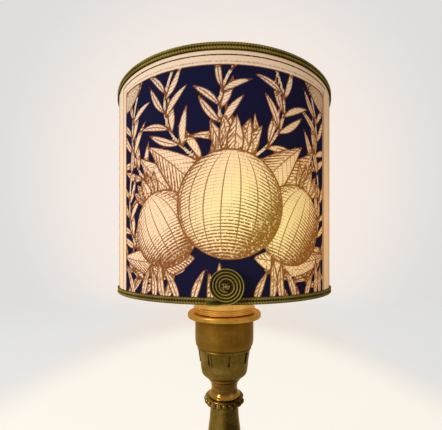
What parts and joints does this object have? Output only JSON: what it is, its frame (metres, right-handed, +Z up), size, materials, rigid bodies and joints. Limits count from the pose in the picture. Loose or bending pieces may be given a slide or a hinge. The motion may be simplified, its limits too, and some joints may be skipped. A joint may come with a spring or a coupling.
{
  "type": "table lamp",
  "caption": "Table lamp with a printed drum shade, braid trim and a coiled braid rosette, on an aged brass lampholder, gadrooned collar, turned stem and stepped round foot.",
  "frame": {"origin": "on the table, under the centre of the foot", "axes": "+Z up the stem; -Y to the lamp's front, where the rosette is; +Y to the back, where the cord bush is; +X to the lamp's right as seen from the front"},
  "size_m": [0.141, 0.1447, 0.38],
  "materials": {
    "baize": "matt felt",
    "aged_brass": "aged, dull sheen",
    "bright_brass": "satin",
    "contact_brass": "satin",
    "iron": "rough cast",
    "dark_bush": "smooth",
    "steel": "zinc plated",
    "porcelain": "glazed; porcelain, for which gloss_plastic stands in",
    "fibre": "pressed fibre",
    "liner": "smooth white lining card",
    "printed_cloth": "printed cotton, navy and cream",
    "braid": "twisted gimp braid, olive and old gold",
    "tin": "bright",
    "black_glass": "glassy; black cap glass, for which gloss_plastic stands in",
    "nickel": "nickel plated brass",
    "opal_glass": "opal",
    "clear_glass": "clear"
  },
  "bodies": {
    "stand": {"foot_pad": "baize", "foot": "aged_brass", "foot_weight": "iron", "cable_bush": "dark_bush", "tie_rod": "steel", "bottom_washer": "steel", "bottom_nut": "steel", "column": "aged_brass", "gadroon_collar": "aged_brass", "neck": "aged_brass", "holder_cap": "aged_brass", "cap_lock_screw": "steel", "porcelain_insert": "porcelain", "terminal_blocks": "contact_brass", "terminal_screws": "steel", "centre_contact": "contact_brass", "contact_rivets": "contact_brass", "screw_shell": "contact_brass", "insulating_sleeve": "fibre", "holder_jacket": "aged_brass", "lower_shade_ring": "aged_brass"},
    "clamp": {"clamp_ring": "aged_brass"},
    "shade": {"fitter_collar": "bright_brass", "spider_plate": "bright_brass", "spider_arms": "bright_brass", "bottom_hoop": "bright_brass", "top_hoop": "bright_brass", "shade_liner": "liner", "shade_panel": "printed_cloth", "top_braid": "braid", "bottom_braid": "braid", "rosette_coil": "braid"},
    "bulb_rise": {"bulb_contact": "tin"},
    "bulb": {"cap_insulator": "black_glass", "bulb_cap": "nickel", "bulb_glass": "opal_glass", "bulb_stem": "clear_glass", "lead_wires": "tin", "filament": "tin"}
  },
  "joints": [
    {"name": "shade_turn", "type": "hinge", "parent": "stand", "child": "shade", "pos_m": [0, 0, 0.2513], "axis": [0, 0, 1], "continuous": true},
    {"name": "clamp_ring_turn", "type": "hinge", "parent": "stand", "child": "clamp", "pos_m": [0, 0, 0.254], "axis": [0, 0, 1], "range_deg": [0, 30]},
    {"name": "bulb_lift", "type": "slide", "parent": "stand", "child": "bulb_rise", "axis": [0, 0, 1], "range_m": [0, 0.01089]},
    {"name": "bulb_turn", "type": "hinge", "parent": "bulb_rise", "child": "bulb", "pos_m": [0, 0, 0.2455], "axis": [0, 0, 1], "range_deg": [0, 1080]}
  ],
  "couplings": [
    {"joint": "bulb_turn", "follows": "bulb_lift", "rad_per_m": 1731.4}
  ]
}
